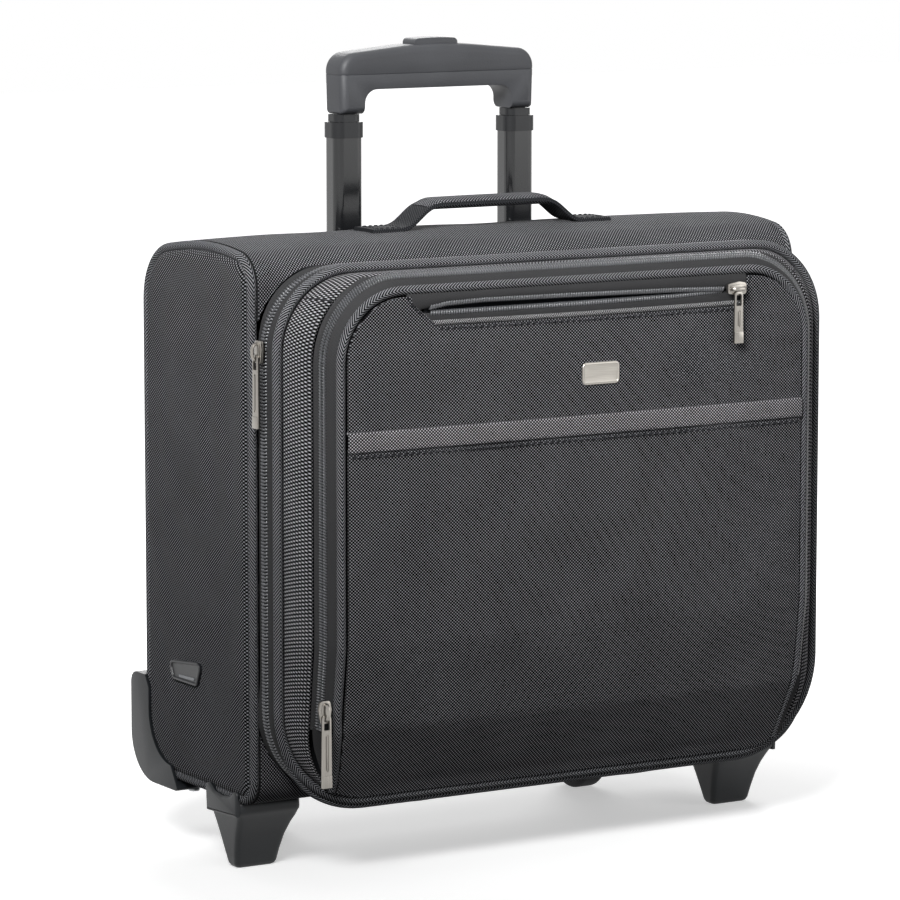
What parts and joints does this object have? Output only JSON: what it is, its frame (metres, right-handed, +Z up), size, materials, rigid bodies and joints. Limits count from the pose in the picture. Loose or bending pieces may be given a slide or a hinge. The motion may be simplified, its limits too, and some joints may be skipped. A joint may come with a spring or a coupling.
{
  "type": "rolling laptop case",
  "caption": "Upright soft-sided rolling laptop case with a telescopic handle, wheels, front feet, an opening lid with a zipped organiser and a top pocket.",
  "frame": {"origin": "on the ground, under the middle of the whole case", "axes": "+Z up, +X to the right seen from the front, front panel towards -Y, wheels and handle towards +Y"},
  "size_m": [0.411, 0.2234, 0.5057],
  "materials": {
    "ballistic_fabric": "woven polyester",
    "grey_fabric": "woven polyester",
    "piping_fabric": "herringbone cord",
    "zip_tape": "woven tape with moulded teeth",
    "lining_fabric": "padded lining",
    "handle_webbing": "padded webbing",
    "board": "matte sheet",
    "guard_plastic": "fine moulded texture",
    "grip_plastic": "moulded texture",
    "collar_plastic": "smooth",
    "rubber_label": "moulded",
    "tube_black": "black anodised",
    "channel_metal": "plain",
    "nickel": "satin nickel plate",
    "steel": "zinc plate",
    "tyre_rubber": "smooth"
  },
  "bodies": {
    "root": {"side_panel_left": "ballistic_fabric", "side_panel_right": "ballistic_fabric", "top_panel": "ballistic_fabric", "back_panel": "ballistic_fabric", "bottom_panel": "ballistic_fabric", "side_piping": "piping_fabric", "main_zip_body_half": "zip_tape", "hinge_strip": "zip_tape", "base_board": "board", "back_board": "board", "laptop_sleeve": "lining_fabric", "handle_channels": "channel_metal", "handle_tray": "guard_plastic", "handle_foot_bracket": "guard_plastic", "wheel_housing_left": "guard_plastic", "wheel_housing_right": "guard_plastic", "wheel_axles": "steel", "front_foot_left": "guard_plastic", "front_foot_right": "guard_plastic", "base_screws": "steel", "carry_handle": "handle_webbing", "side_label": "rubber_label"},
    "wheel_left": {"wheel_hub_left": "guard_plastic", "tyre_left": "tyre_rubber"},
    "wheel_right": {"wheel_hub_right": "guard_plastic", "tyre_right": "tyre_rubber"},
    "stage_1": {"outer_tubes": "tube_black", "outer_collars": "collar_plastic"},
    "stage_2": {"middle_tubes": "tube_black", "middle_collars": "collar_plastic"},
    "stage_3": {"inner_tubes": "tube_black", "grip_lower_shell": "grip_plastic", "grip_upper_shell": "grip_plastic", "button_spring": "steel"},
    "button": {"release_button": "grip_plastic", "release_rods": "steel"},
    "pin_left": {"lock_pin_left": "steel"},
    "pin_right": {"lock_pin_right": "steel"},
    "lid": {"lid_inner_panel": "lining_fabric", "lid_gusset": "grey_fabric", "lid_rim_piping": "piping_fabric", "main_zip_lid_half": "zip_tape", "lid_skirt_panel": "ballistic_fabric", "organiser_zip_lid_half": "zip_tape"},
    "flap": {"flap_upper_panel": "ballistic_fabric", "flap_lower_panel": "ballistic_fabric", "accent_band": "grey_fabric", "flap_piping": "piping_fabric", "organiser_zip_flap_half": "zip_tape", "badge_plate": "nickel", "pocket_bag": "lining_fabric", "pocket_zip": "zip_tape"},
    "main_left_slider": {"main_left_slider": "nickel"},
    "main_left_pull": {"main_left_pull": "nickel"},
    "main_right_slider": {"main_right_slider": "nickel"},
    "main_right_pull": {"main_right_pull": "nickel"},
    "organiser_slider": {"organiser_slider": "nickel"},
    "organiser_pull": {"organiser_pull": "nickel"},
    "pocket_slider": {"pocket_slider": "nickel"},
    "pocket_pull": {"pocket_pull": "nickel"}
  },
  "joints": [
    {"name": "stage_1_slide", "type": "slide", "parent": "root", "child": "stage_1", "axis": [0, 0, 1], "range_m": [-0.092, 0.11]},
    {"name": "stage_2_slide", "type": "slide", "parent": "stage_1", "child": "stage_2", "axis": [0, 0, 1], "range_m": [0, 0.21]},
    {"name": "stage_3_slide", "type": "slide", "parent": "stage_2", "child": "stage_3", "axis": [0, 0, 1], "range_m": [0, 0.2]},
    {"name": "button_press", "type": "slide", "parent": "stage_3", "child": "button", "axis": [0, 0, -1], "range_m": [0, 0.005], "stiffness_N_per_m": 800, "springref_m": -0.004, "deforming": ["button_spring"]},
    {"name": "pin_left_draw", "type": "slide", "parent": "stage_3", "child": "pin_left", "axis": [1, 0, 0], "range_m": [0, 0.002]},
    {"name": "pin_right_draw", "type": "slide", "parent": "stage_3", "child": "pin_right", "axis": [-1, 0, 0], "range_m": [0, 0.002]},
    {"name": "wheel_left_spin", "type": "hinge", "parent": "root", "child": "wheel_left", "pos_m": [-0.121, 0.08675, 0.024], "axis": [1, 0, 0], "continuous": true},
    {"name": "wheel_right_spin", "type": "hinge", "parent": "root", "child": "wheel_right", "pos_m": [0.121, 0.08675, 0.024], "axis": [1, 0, 0], "continuous": true},
    {"name": "lid_open", "type": "hinge", "parent": "root", "child": "lid", "pos_m": [0, -0.06025, 0.047], "axis": [1, 0, 0], "range_deg": [0, 50]},
    {"name": "flap_open", "type": "hinge", "parent": "lid", "child": "flap", "pos_m": [0, -0.09625, 0.098], "axis": [1, 0, 0], "range_deg": [0, 42]},
    {"name": "main_left_zip", "type": "slide", "parent": "root", "child": "main_left_slider", "axis": [0, 0, -1], "range_m": [0, 0.2]},
    {"name": "main_right_zip", "type": "slide", "parent": "root", "child": "main_right_slider", "axis": [0, 0, -1], "range_m": [0, 0.2]},
    {"name": "organiser_zip", "type": "slide", "parent": "lid", "child": "organiser_slider", "axis": [0, -0.0243, 0.9997], "range_m": [0, 0.2]},
    {"name": "pocket_zip_run", "type": "slide", "parent": "flap", "child": "pocket_slider", "axis": [-1, 0, 0], "range_m": [0, 0.2]},
    {"name": "main_left_pull_swing", "type": "hinge", "parent": "main_left_slider", "child": "main_left_pull", "pos_m": [-0.2029, -0.06025, 0.3257], "axis": [0, 1, 0], "range_deg": [0, 150]},
    {"name": "main_right_pull_swing", "type": "hinge", "parent": "main_right_slider", "child": "main_right_pull", "pos_m": [0.2029, -0.06025, 0.3257], "axis": [0, -1, 0], "range_deg": [0, 150]},
    {"name": "organiser_pull_swing", "type": "hinge", "parent": "organiser_slider", "child": "organiser_pull", "pos_m": [-0.178, -0.09865, 0.1097], "axis": [-1, 0, 0], "range_deg": [0, 150]},
    {"name": "pocket_pull_swing", "type": "hinge", "parent": "pocket_slider", "child": "pocket_pull", "pos_m": [0.112, -0.10915, 0.35172], "axis": [-1, 0, 0], "range_deg": [0, 150]}
  ],
  "couplings": [
    {"joint": "pin_left_draw", "follows": "button_press", "ratio": 0.4},
    {"joint": "pin_right_draw", "follows": "button_press", "ratio": 0.4}
  ]
}
